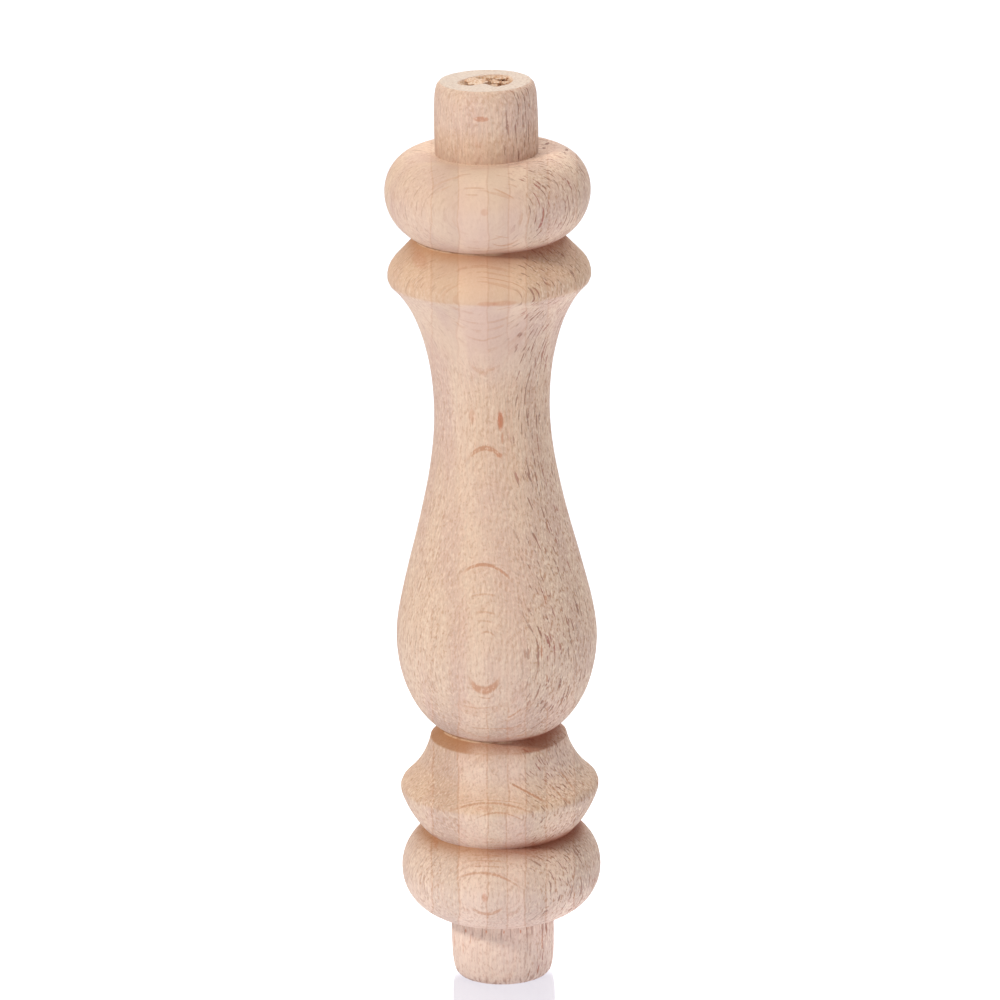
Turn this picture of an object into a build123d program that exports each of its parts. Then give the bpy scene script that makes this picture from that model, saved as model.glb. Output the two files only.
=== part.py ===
from build123d import *
import math
import os

# A small furniture leg, turned from one length of beech with the grain running along it.
# It is a vase between two collars and two beads, with a round tenon at each end.
# The axis is +Z and the middle of the lower tenon's end face is the origin. Sizes are in millimetres.

overall_length = 82.0

# Lower tenon, with a long eased end
foot_tenon_diameter = 9.2
foot_tenon_length = 5.75
foot_ease_length = 2.6
foot_ease_depth = 0.5

# Foot bead, a half round that springs from the lower tenon and ends in a groove
foot_bead_diameter = 17.8
foot_groove_diameter = 13.4

# Lower collar: a rounded nose, with a swelling underside and a hollow cove above it
lower_collar_diameter = 17.7
lower_collar_rise = 3.8
lower_collar_nose_radius = 0.95
lower_collar_under_angle = 18.0
lower_collar_top_angle = 50.0
lower_cove_height = 4.75
lower_cove_top_diameter = 12.15

# Groove between the lower cove and the vase
waist_groove_diameter = 10.2
waist_groove_height = 0.9

# Vase: an elliptical underside, then a long flank that runs from the belly into the neck
belly_diameter = 17.8
belly_round_width = 5.9
belly_round_height = 9.0
belly_fullness = 4.45
neck_diameter = 10.2
neck_fullness_below = 7.6
neck_fullness_above = 5.65

# Upper collar: a flared throat under a small lip, with a rounded slope above it
throat_height = 12.2
throat_end_length = 2.5
throat_end_angle = 46.0
upper_collar_diameter = 17.85
upper_collar_lip_radius = 1.0
upper_collar_lip_angle = 55.0
upper_collar_top_radius = 2.1

# Top bead: a half round below, and above it a flatter crown that rolls down to a narrow seat
top_groove_diameter = 12.8
top_bead_rise = 7.6
top_bead_diameter = 18.0
top_bead_crest_diameter = 11.8
top_bead_crest_height = 3.5
top_seat_width = 0.6

# Upper tenon, with an eased end
top_tenon_diameter = 9.0
top_tenon_length = 6.35
top_ease_length = 2.0
top_ease_depth = 0.5

# Hollow in the end of the upper tenon, where the fibres tore out as the leg was parted off
torn_width = 4.7
torn_breadth = 4.2
torn_depth = 0.6
torn_floor_share = 0.55


def polar(centre, radius, angle):
    """The point at this angle on a circle, in the plane of the profile."""
    turn = math.radians(angle)
    return (centre[0] + radius * math.cos(turn), centre[1] + radius * math.sin(turn))


def angle_at(centre_r, half_width, wanted_r):
    """The angle at which a round about centre_r has narrowed to wanted_r."""
    return math.degrees(math.acos((wanted_r - centre_r) / half_width))


def tangent_angle(point, centre, radius):
    """The angle on a circle's outer side where a straight line from the point touches it."""
    across = point[0] - centre[0]
    along = point[1] - centre[1]
    towards = math.degrees(math.atan2(along, across))
    return towards - math.degrees(math.acos(radius / math.hypot(across, along)))


# Radii of the widest and narrowest lines
foot_tenon_r = foot_tenon_diameter / 2
foot_bead_r = foot_bead_diameter / 2
foot_groove_r = foot_groove_diameter / 2
lower_collar_r = lower_collar_diameter / 2
lower_cove_top_r = lower_cove_top_diameter / 2
waist_groove_r = waist_groove_diameter / 2
belly_r = belly_diameter / 2
neck_r = neck_diameter / 2
upper_collar_r = upper_collar_diameter / 2
top_groove_r = top_groove_diameter / 2
top_bead_r = top_bead_diameter / 2
top_crest_r = top_bead_crest_diameter / 2
top_tenon_r = top_tenon_diameter / 2
top_seat_r = top_tenon_r + top_seat_width

# Rounds of the two beads, and the angles at which they reach their grooves and the top seat
foot_bead_round = foot_bead_r - foot_tenon_r
foot_bead_wrap = angle_at(foot_tenon_r, foot_bead_round, foot_groove_r)
top_bead_round = top_bead_r - top_tenon_r
top_bead_wrap = angle_at(top_tenon_r, top_bead_round, top_groove_r)
top_crown_width = top_bead_r - top_crest_r
top_crown_wrap = angle_at(top_crest_r, top_crown_width, top_seat_r)
belly_wrap = angle_at(belly_r - belly_round_width, belly_round_width, waist_groove_r)

# Heights from the foot up to the belly
foot_bead_centre = (foot_tenon_r, foot_tenon_length + foot_bead_round)
foot_groove = polar(foot_bead_centre, foot_bead_round, foot_bead_wrap)
lower_nose_centre = (lower_collar_r - lower_collar_nose_radius, foot_groove[1] + lower_collar_rise)
lower_cove_top = (lower_cove_top_r, lower_nose_centre[1] + lower_cove_height)
waist_groove = (waist_groove_r, lower_cove_top[1] + waist_groove_height)
belly_rise = belly_round_height * math.sin(math.radians(belly_wrap))
belly = (belly_r, waist_groove[1] + belly_rise)

# Heights from the top down to the neck: the flank of the vase takes up what is left between
top_seat_z = overall_length - top_tenon_length
top_seat_height = top_bead_crest_height * math.sin(math.radians(top_crown_wrap))
top_bead_z = top_seat_z - top_seat_height
top_bead_centre = (top_tenon_r, top_bead_z)
top_groove = polar(top_bead_centre, top_bead_round, -top_bead_wrap)
upper_collar_z = top_bead_z - top_bead_rise
upper_lip_centre = (upper_collar_r - upper_collar_lip_radius, upper_collar_z)
upper_lip_edge = polar(upper_lip_centre, upper_collar_lip_radius, -upper_collar_lip_angle)
upper_round_centre = (upper_collar_r - upper_collar_top_radius, upper_collar_z)
upper_slope_angle = tangent_angle(top_groove, upper_round_centre, upper_collar_top_radius)
neck = (neck_r, upper_collar_z - throat_height)


def foot_tenon_edges():
    """The end face, its eased rim and the wall of the lower tenon."""
    ease_centre = (foot_tenon_r - foot_ease_depth, foot_ease_length)
    Line((0, 0), (ease_centre[0], 0))
    EllipticalCenterArc(ease_centre, foot_ease_depth, foot_ease_length, -90, arc_size=90)
    Line((foot_tenon_r, foot_ease_length), (foot_tenon_r, foot_tenon_length))


def foot_bead_edges():
    """The half round, from the lower tenon over the widest line into its groove."""
    CenterArc(foot_bead_centre, foot_bead_round, -90, 90 + foot_bead_wrap)


def lower_collar_edges():
    """The swelling underside, the nose, the cove and the wall of the waist groove."""
    radius = lower_collar_nose_radius
    nose_start = polar(lower_nose_centre, radius, -lower_collar_under_angle)
    nose_end = polar(lower_nose_centre, radius, lower_collar_top_angle)
    underside_way = polar((0, 0), 1, -90 - lower_collar_under_angle)
    cove_way = polar((0, 0), 1, 90 + lower_collar_top_angle)
    TangentArc(nose_start, foot_groove, tangent=underside_way)
    CenterArc(lower_nose_centre, radius, -lower_collar_under_angle,
              lower_collar_under_angle + lower_collar_top_angle)
    TangentArc(nose_end, lower_cove_top, tangent=cove_way)
    Line(lower_cove_top, waist_groove)


def vase_edges():
    """The round underside, the flank from belly to neck and the throat that flares to the lip."""
    belly_centre = (belly_r - belly_round_width, belly[1])
    EllipticalCenterArc(belly_centre, belly_round_width, belly_round_height, -belly_wrap,
                        arc_size=belly_wrap)
    Bezier(belly, (belly_r, belly[1] + belly_fullness), (neck_r, neck[1] - neck_fullness_below), neck)
    throat_pull = polar(upper_lip_edge, throat_end_length, -90 - throat_end_angle)
    Bezier(neck, (neck_r, neck[1] + neck_fullness_above), throat_pull, upper_lip_edge)


def upper_collar_edges():
    """The lip, the round above it and the straight slope into the top groove."""
    CenterArc(upper_lip_centre, upper_collar_lip_radius, -upper_collar_lip_angle, upper_collar_lip_angle)
    CenterArc(upper_round_centre, upper_collar_top_radius, 0, upper_slope_angle)
    slope_start = polar(upper_round_centre, upper_collar_top_radius, upper_slope_angle)
    Line(slope_start, top_groove)


def top_bead_edges():
    """The half round out of its groove, the crown that rolls over and the flat seat round the tenon."""
    CenterArc(top_bead_centre, top_bead_round, -top_bead_wrap, top_bead_wrap)
    crown_centre = (top_crest_r, top_bead_z)
    EllipticalCenterArc(crown_centre, top_crown_width, top_bead_crest_height, 0, arc_size=top_crown_wrap)
    Line((top_seat_r, top_seat_z), (top_tenon_r, top_seat_z))


def top_tenon_edges():
    """The wall, the eased rim and the end face of the upper tenon."""
    ease_z = overall_length - top_ease_length
    ease_centre = (top_tenon_r - top_ease_depth, ease_z)
    Line((top_tenon_r, top_seat_z), (top_tenon_r, ease_z))
    EllipticalCenterArc(ease_centre, top_ease_depth, top_ease_length, 0, arc_size=90)
    Line((ease_centre[0], overall_length), (0, overall_length))


def torn_outline(share):
    """The ragged edge of the torn hollow about the axis, drawn in to this share of its width."""
    wide = share * torn_width / 2
    deep = share * torn_breadth / 2
    return [
        (wide, 0.35 * deep),
        (0.55 * wide, deep),
        (-0.25 * wide, 0.85 * deep),
        (-0.8 * wide, 0.3 * deep),
        (-wide, -0.45 * deep),
        (-0.45 * wide, -0.75 * deep),
        (-0.05 * wide, -0.5 * deep),
        (0.35 * wide, -deep),
        (0.85 * wide, -0.6 * deep),
    ]


def make_leg():
    """The profile turned about its axis, with the torn hollow taken out of the top."""
    with BuildPart() as leg:
        with BuildSketch(Plane.XZ):
            with BuildLine():
                foot_tenon_edges()
                foot_bead_edges()
                lower_collar_edges()
                vase_edges()
                upper_collar_edges()
                top_bead_edges()
                top_tenon_edges()
                Line((0, overall_length), (0, 0))
            make_face()
        revolve(axis=Axis.Z)
        for height, share in ((overall_length, 1), (overall_length - torn_depth, torn_floor_share)):
            with BuildSketch(Plane.XY.offset(height)):
                with BuildLine():
                    Spline(*torn_outline(share), periodic=True)
                make_face()
        loft(mode=Mode.SUBTRACT)
    return leg.part


os.makedirs("parts", exist_ok=True)
export_step(make_leg(), "parts/turned_leg.step")
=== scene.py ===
import math
import random

import bpy
import numpy as np
from mathutils import Matrix, Vector, noise
from mathutils.bvhtree import BVHTree


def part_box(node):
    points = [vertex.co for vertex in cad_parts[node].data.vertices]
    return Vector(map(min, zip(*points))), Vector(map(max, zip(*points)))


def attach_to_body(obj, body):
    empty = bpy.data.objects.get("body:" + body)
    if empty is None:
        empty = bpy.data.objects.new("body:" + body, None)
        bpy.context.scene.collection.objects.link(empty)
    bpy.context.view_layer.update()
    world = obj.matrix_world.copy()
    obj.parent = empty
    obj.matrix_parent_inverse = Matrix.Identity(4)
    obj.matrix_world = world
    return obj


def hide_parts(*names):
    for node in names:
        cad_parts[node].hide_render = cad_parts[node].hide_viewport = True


# A turned beech furniture leg that stands on a white studio table. Places are in metres in the part's
# own frame: the turning axis is +Z, and the photographed side faces -Y.

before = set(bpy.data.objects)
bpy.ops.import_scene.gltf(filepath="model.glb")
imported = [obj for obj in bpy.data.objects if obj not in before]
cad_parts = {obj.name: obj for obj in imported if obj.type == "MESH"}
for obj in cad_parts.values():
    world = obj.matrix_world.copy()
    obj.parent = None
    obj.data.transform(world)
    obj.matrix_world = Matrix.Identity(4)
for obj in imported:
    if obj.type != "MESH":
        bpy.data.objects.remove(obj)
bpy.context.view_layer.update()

LEG = "turned_leg"
MM = 0.001

# Mesh of the leg: rings about the axis, set along the profile of the CAD solid
RING_POINTS = 240
RING_SPACING = 0.42 * MM
RING_TURN = math.radians(6.0)
CREASE_TURN = math.radians(25.0)
END_SPACING = 0.2 * MM
TORN_SPACING = 0.1 * MM
SEAM_WIDTH = 0.001 * MM
CREVICE_REACH = 1.0 * MM

# Relief that sanding leaves: soft waves, and fibres that run along the leg
WAVE_HEIGHT = 0.012 * MM
WAVE_LENGTH = 3.0 * MM
FIBRE_HEIGHT = 0.010 * MM
FIBRE_WIDTH = 0.6 * MM
FIBRE_LENGTH = 6.0 * MM

# Torn end: the depth at which its edge ends, its lumps, the fine grit on them, and how torn it looks from 0
# to 1, which is more in the hollows of both; high values are painted dark, partly as shade
TORN_EDGE = 0.12 * MM
LUMP_SIZE = 0.55 * MM
LUMP_SHARE = 0.35
GRIT_SIZE = 0.17 * MM
GRIT_DEPTH = 0.07 * MM
TEAR_MEAN = 0.55
TEAR_LEAST = 0.2
LUMP_TEAR = 0.4
GRIT_TEAR = 0.5
TORN_SEED = 7

# Flakes left in the torn end: the middle of each across and back, its length and width, its turn in degrees,
# its height from the end face and how much one side stands above the other, in millimetres
FLAKES = [
    (-0.85, 0.25, 2.3, 3.1, 15.0, -0.09, 0.08),
    (1.30, 1.30, 1.9, 0.8, -8.0, -0.10, 0.06),
    (0.50, 1.50, 1.2, 0.5, 10.0, -0.12, 0.06),
    (-0.20, -1.00, 1.1, 0.6, -25.0, -0.18, 0.05),
    (1.00, 0.05, 1.2, 0.9, 20.0, -0.16, 0.05),
    (1.75, -0.30, 0.8, 0.8, -30.0, -0.13, 0.05),
    (0.75, 0.80, 1.1, 0.5, -15.0, -0.20, 0.06),
    (0.80, -0.95, 0.9, 0.6, 25.0, -0.16, 0.05),
]
FLAKE_POINTS = 26
FLAKE_THICKNESS = 0.09 * MM
FLAKE_CROWN = 0.05 * MM
FLAKE_RIPPLE = 0.04
SPLINTERS_FROM = 0.45
SPLINTER_REACH = 0.55
SIDE_REACH = 0.8
# How torn a flake's top and its underside look; the dark underside is partly painted shade under the flake
FLAKE_TEAR_AND_SHADE = (0.3, 0.8)

# Fibres that stand in the torn end: where they grow, how far their tips lie below the end face, the least
# height of one, the half width of its root and how far its tip leans, in millimetres
SPIKE_COUNT = 70
SPIKES_ACROSS = (0.1, 2.1)
SPIKES_BACK = (-1.2, 1.1)
SPIKE_DROP = (0.03, 0.18)
SPIKE_LEAST = 0.15
SPIKE_ROOT = (0.06, 0.13)
SPIKE_SUNK = 0.1
SPIKE_LEAN = (0.25, 0.15)
SPIKE_SIDES = 3
# How torn a fibre's root and tip look; the dark root is partly painted shade at the bottom of the hollow
ROOT_TEAR_AND_SHADE = 0.8
TIP_TEAR = (0.2, 0.4)

# Camera: how the leg stands in the photo's frame of 1000 by 1000 pixels
CAMERA_DISTANCE = 650.0 * MM
CAMERA_RISE = math.radians(17.5)
CAMERA_ROLL = math.radians(1.19)
FRAME_PIXELS = 1000.0
FOCAL_PIXELS = 7377.0
SENSOR = 36.0
CENTRE_PIXEL = (494.6, 532.7)

# Lamps: the height each looks at, its turn from the front, rise, distance and size, how much light it gives
# a surface that faces it there, and its tint
EXPOSURE = 0.32
WORLD_LIGHT = 0.12
WORLD_TINT = (1.0, 0.9, 0.8, 1.0)
LAMPS = {
    "key": (41.0 * MM, -48.0, 38.5, 0.9, 0.1, 0.375, (1.0, 0.98, 0.90)),
    "top": (41.0 * MM, -15.0, 72.0, 0.9, 0.5, 0.30, (0.93, 1.0, 1.03)),
    "side": (41.0 * MM, 88.0, 14.0, 1.0, 0.7, 0.12, (0.95, 1.0, 1.03)),
    "back": (41.0 * MM, 171.0, 40.0, 1.2, 1.1, 0.70, (0.95, 1.0, 1.03)),
}

# Narrow beams on the lower tenon: the height each looks at, its turn from the front, its rise and its light
FOOT_BEAMS = {
    "foot_front": (1.0 * MM, -8.0, 5.0, 0.095),
    "foot_key": (-3.0 * MM, -48.0, 38.5, 0.06),
    "foot_side": (1.0 * MM, 60.0, 8.0, 0.10),
}
BEAM_DISTANCE = 0.4
BEAM_REACH = 7.5 * MM
BEAM_EASE = 0.7
BEAM_TINT = (0.90, 1.0, 1.12)

# White table: its glow far off, in a brighter ring round the leg that lights it as painted light, and in a
# dim patch of painted contact shade just before the foot
TABLE_SIZE = 16.0
TABLE_CUTS = 8
TABLE_TONE = (0.12, 0.12, 0.12, 1.0)
TABLE_ROUGHNESS = 0.05
FAR_GLOW = (0.83, 0.87, 0.94, 1.0)
RING_GLOW = (1.05, 1.08, 1.18, 1.0)
RING_REACH = (12.0 * MM, 20.0 * MM)
CONTACT_SHADE_GLOW = (0.52, 0.51, 0.56, 1.0)
CONTACT_SHADE_MIDDLE = (0.0, -6.5 * MM, 0.0)
CONTACT_SHADE_REACH = (5.5 * MM, 9.0 * MM)


def seam_points(node):
    """The CAD solid's profile as (radius, height) points, walked from foot to top along its seam."""
    mesh = node.data
    on_seam = [abs(v.co.y) < SEAM_WIDTH and v.co.x > SEAM_WIDTH for v in mesh.vertices]
    place = {v.index: (round(v.co.x / SEAM_WIDTH), round(v.co.z / SEAM_WIDTH)) for v in mesh.vertices}
    links = {}
    for edge in mesh.edges:
        a, b = edge.vertices
        if on_seam[a] and on_seam[b] and place[a] != place[b]:
            links.setdefault(place[a], set()).add(place[b])
            links.setdefault(place[b], set()).add(place[a])
    here = min(links, key=lambda p: (p[1], -p[0]))
    walk = [here]
    seen = {here}
    while True:
        ahead = [p for p in links[here] if p not in seen]
        if not ahead:
            break
        here = min(ahead, key=lambda p: math.dist(p, here))
        walk.append(here)
        seen.add(here)
    return np.array(walk, float) * SEAM_WIDTH


def turn_between(a, b, c):
    """How far the path turns at b, in radians."""
    before = Vector(b - a)
    after = Vector(c - b)
    return before.angle(after)


def smooth_stretch(points):
    """New points on a smooth curve through these, close enough for its length and its turning."""
    steps = np.linalg.norm(np.diff(points, axis=0), axis=1)
    along = np.concatenate([[0.0], np.cumsum(steps)])
    turning = sum(turn_between(*points[i:i + 3]) for i in range(len(points) - 2))
    count = max(1, math.ceil(along[-1] / RING_SPACING), math.ceil(turning / RING_TURN))
    wanted = np.linspace(0.0, along[-1], count + 1)
    if len(points) == 2:
        share = (wanted / along[-1])[:, None]
        return points[0] * (1 - share) + points[1] * share
    slope = np.gradient(points, along, axis=0, edge_order=2)
    i = np.clip(np.searchsorted(along, wanted, side="right") - 1, 0, len(steps) - 1)
    h = steps[i][:, None]
    t = (wanted - along[i])[:, None] / h
    return ((1 + 2 * t) * (1 - t) ** 2 * points[i] + t * (1 - t) ** 2 * h * slope[i]
            + t * t * (3 - 2 * t) * points[i + 1] + t * t * (t - 1) * h * slope[i + 1])


def leg_profile(node):
    """Smooth profile points, with the indices of those that lie on a crisp edge."""
    points = seam_points(node)
    corners = [i for i in range(1, len(points) - 1)
               if turn_between(points[i - 1], points[i], points[i + 1]) > CREASE_TURN]
    ends = [0] + corners + [len(points) - 1]
    profile = [points[:1]]
    creases = []
    for start, stop in zip(ends, ends[1:]):
        profile.append(smooth_stretch(points[start:stop + 1])[1:])
        creases.append(sum(len(part) for part in profile) - 1)
    return np.concatenate(profile), creases[:-1]


def leg_rings(profile):
    """Rings over the whole leg as (radius, height), and how many lie on the foot's end and on the top's."""
    foot_r, foot_z = profile[0]
    top_r, top_z = profile[-1]
    foot_steps = math.ceil(foot_r / END_SPACING)
    top_steps = math.ceil(top_r / TORN_SPACING)
    foot = [(foot_r * i / foot_steps, foot_z) for i in range(1, foot_steps)]
    top = [(top_r * (1 - i / top_steps), top_z) for i in range(1, top_steps)]
    return np.array(foot + [tuple(p) for p in profile] + top), len(foot), len(top)


def outward(rings):
    """The direction straight out of the surface at each ring, as (radius, height)."""
    along = np.gradient(rings, axis=0)
    out = np.stack([along[:, 1], -along[:, 0]], axis=1)
    return out / np.linalg.norm(out, axis=1)[:, None]


def ring_faces(count):
    """Faces between neighbouring rings, and fans from the first and the last ring to the ends' middles."""
    faces = []
    for ring in range(count - 1):
        low = ring * RING_POINTS
        for k in range(RING_POINTS):
            nxt = (k + 1) % RING_POINTS
            faces.append((low + k, low + nxt, low + RING_POINTS + nxt, low + RING_POINTS + k))
    foot_middle = count * RING_POINTS
    top_middle = foot_middle + 1
    last = foot_middle - RING_POINTS
    for k in range(RING_POINTS):
        nxt = (k + 1) % RING_POINTS
        faces.append((foot_middle, nxt, k))
        faces.append((top_middle, last + k, last + nxt))
    return faces


def relief(point):
    """Height of the sanded surface above the turned form."""
    wave = noise.noise(point / WAVE_LENGTH)
    fibre = noise.noise(Vector((point.x / FIBRE_WIDTH, point.y / FIBRE_WIDTH, point.z / FIBRE_LENGTH)))
    return WAVE_HEIGHT * (wave - 1) + FIBRE_HEIGHT * (fibre - 1)


def crevices(profile, creases):
    """How deep in a hollow corner each profile point lies: 1 in the corner, and 0 well away from it."""
    steps = np.linalg.norm(np.diff(profile, axis=0), axis=1)
    along = np.concatenate([[0.0], np.cumsum(steps)])
    deep = np.zeros(len(profile))
    for i in creases:
        before = profile[i] - profile[i - 1]
        after = profile[i + 1] - profile[i]
        if before[0] * after[1] < before[1] * after[0]:
            deep = np.maximum(deep, np.exp(-((along - along[i]) / CREVICE_REACH) ** 2))
    return deep


def surface_below(cad, point):
    """Height of the CAD solid straight below a point near its top."""
    return cad.ray_cast(Vector((point.x, point.y, point.z + MM)), Vector((0.0, 0.0, -1.0)))[0].z


def torn_end(cad, point, end_z):
    """How high the top's end lies at this point, and how torn it is there."""
    drop = end_z - surface_below(cad, point)
    if drop < SEAM_WIDTH:
        return end_z, 0.0
    share = min(1.0, drop / TORN_EDGE)
    lump = noise.noise(point / LUMP_SIZE)
    grit = noise.noise(point / GRIT_SIZE)
    z = end_z - drop * (1 + LUMP_SHARE * lump) - share * GRIT_DEPTH * (grit + 1)
    tear = TEAR_MEAN - GRIT_TEAR * grit - LUMP_TEAR * lump
    return z, share * min(1.0, max(TEAR_LEAST, tear))


def attach(mesh, name, values):
    """Stores one number for each vertex, for the material to read."""
    mesh.attributes.new(name, "FLOAT", "POINT").data.foreach_set("value", values)


def add_piece(name, verts, faces):
    """A new object in the scene from vertices and faces."""
    mesh = bpy.data.meshes.new(name)
    mesh.from_pydata([tuple(v) for v in verts], [], faces)
    piece = bpy.data.objects.new(name, mesh)
    bpy.context.scene.collection.objects.link(piece)
    return piece


def make_leg(node, cad):
    """The leg as one closed mesh of rings, with the torn end of the solid at its top."""
    profile, creases = leg_profile(node)
    end_z = profile[-1][1]
    rings, foot_count, top_count = leg_rings(profile)
    first_top = foot_count + len(profile)
    out = outward(rings)
    verts = []
    torn = []
    for number, (r, z) in enumerate(rings):
        for k in range(RING_POINTS):
            angle = 2 * math.pi * k / RING_POINTS
            side = Vector((math.cos(angle), math.sin(angle), 0.0))
            point = side * r + Vector((0.0, 0.0, z))
            tear = 0.0
            if number >= first_top:
                point.z, tear = torn_end(cad, point, end_z)
            elif number >= foot_count:
                normal = side * out[number][0] + Vector((0.0, 0.0, out[number][1]))
                point += normal * relief(point)
            verts.append(point)
            torn.append(tear)
    middle_z, middle_tear = torn_end(cad, Vector((0.0, 0.0, end_z)), end_z)
    verts += [Vector((0.0, 0.0, profile[0][1])), Vector((0.0, 0.0, middle_z))]
    torn += [0.0, middle_tear]
    leg = add_piece("beech_leg", verts, ring_faces(len(rings)))
    mesh = leg.data
    mesh.shade_smooth()
    crisp = {foot_count + i for i in creases}
    for edge in mesh.edges:
        a, b = (v // RING_POINTS for v in edge.vertices)
        edge.use_edge_sharp = a == b and a in crisp
    deep = np.pad(crevices(profile, creases), (foot_count, top_count))
    attach(mesh, "torn", torn)
    attach(mesh, "crevice", [*np.repeat(deep, RING_POINTS), 0.0, 0.0])
    return leg


def flake_edge(chance, flake):
    """The outline of one flake, splintered at both ends of its length."""
    x, y, length, width, turn, rise, lift = flake
    swing = math.radians(turn)
    edge = []
    for k in range(FLAKE_POINTS):
        angle = 2 * math.pi * k / FLAKE_POINTS
        splintered = abs(math.cos(angle)) > SPLINTERS_FROM
        reach = chance.uniform(SPLINTER_REACH if splintered else SIDE_REACH, 1.0)
        along = math.cos(angle) * length / 2 * reach
        aside = math.sin(angle) * width / 2 * reach
        across = x + along * math.cos(swing) - aside * math.sin(swing)
        back = y + along * math.sin(swing) + aside * math.cos(swing)
        height = rise + lift * aside / width + chance.uniform(-FLAKE_RIPPLE, FLAKE_RIPPLE)
        edge.append(Vector((across, back, height)) * MM)
    return edge


def add_flake(shape, edge, end_z):
    """Adds one flake as a closed form, with a low crown in its middle."""
    verts, faces, torn = shape
    count = len(edge)
    start = len(verts)
    under = start + count + 1
    upper = edge + [sum(edge, Vector()) / count + Vector((0.0, 0.0, FLAKE_CROWN))]
    lower = [p - Vector((0.0, 0.0, FLAKE_THICKNESS)) for p in upper]
    verts += [p + Vector((0.0, 0.0, end_z)) for p in upper + lower]
    torn += [FLAKE_TEAR_AND_SHADE[0]] * len(upper) + [FLAKE_TEAR_AND_SHADE[1]] * len(lower)
    for k in range(count):
        nxt = (k + 1) % count
        faces.append((start + k, start + nxt, start + count))
        faces.append((under + nxt, under + k, under + count))
        faces.append((start + nxt, start + k, under + k, under + nxt))


def add_spike(shape, chance, cad, end_z):
    """Adds one standing fibre as a thin spike, unless the hollow is too shallow there."""
    verts, faces, torn = shape
    x = chance.uniform(*SPIKES_ACROSS) * MM
    y = chance.uniform(*SPIKES_BACK) * MM
    floor_z = surface_below(cad, Vector((x, y, end_z)))
    tip_z = end_z - chance.uniform(*SPIKE_DROP) * MM
    if tip_z - floor_z < SPIKE_LEAST * MM:
        return
    half = chance.uniform(*SPIKE_ROOT) * MM
    lean_x, lean_y = (chance.uniform(-lean, lean) for lean in SPIKE_LEAN)
    root_z = floor_z - SPIKE_SUNK * MM
    start = len(verts)
    tip = start + SPIKE_SIDES
    for k in range(SPIKE_SIDES):
        angle = 2 * math.pi * k / SPIKE_SIDES
        verts.append(Vector((x + half * math.cos(angle), y + half * math.sin(angle), root_z)))
    verts.append(Vector((x, y, tip_z)) + Vector((lean_x, lean_y, 0.0)) * MM)
    torn += [ROOT_TEAR_AND_SHADE] * SPIKE_SIDES + [chance.uniform(*TIP_TEAR)]
    faces.append((start, start + 2, start + 1))
    for k in range(SPIKE_SIDES):
        faces.append((start + k, start + (k + 1) % SPIKE_SIDES, tip))


def make_torn_fibres(cad, end_z):
    """Ragged flakes and standing fibres in the torn hollow, each a small closed form."""
    chance = random.Random(TORN_SEED)
    verts = []
    faces = []
    torn = []
    shape = (verts, faces, torn)
    for flake in FLAKES:
        add_flake(shape, flake_edge(chance, flake), end_z)
    for _ in range(SPIKE_COUNT):
        add_spike(shape, chance, cad, end_z)
    fibres = add_piece("torn_fibres", verts, faces)
    attach(fibres.data, "torn", torn)
    attach(fibres.data, "crevice", [0.0] * len(verts))
    return fibres


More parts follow.
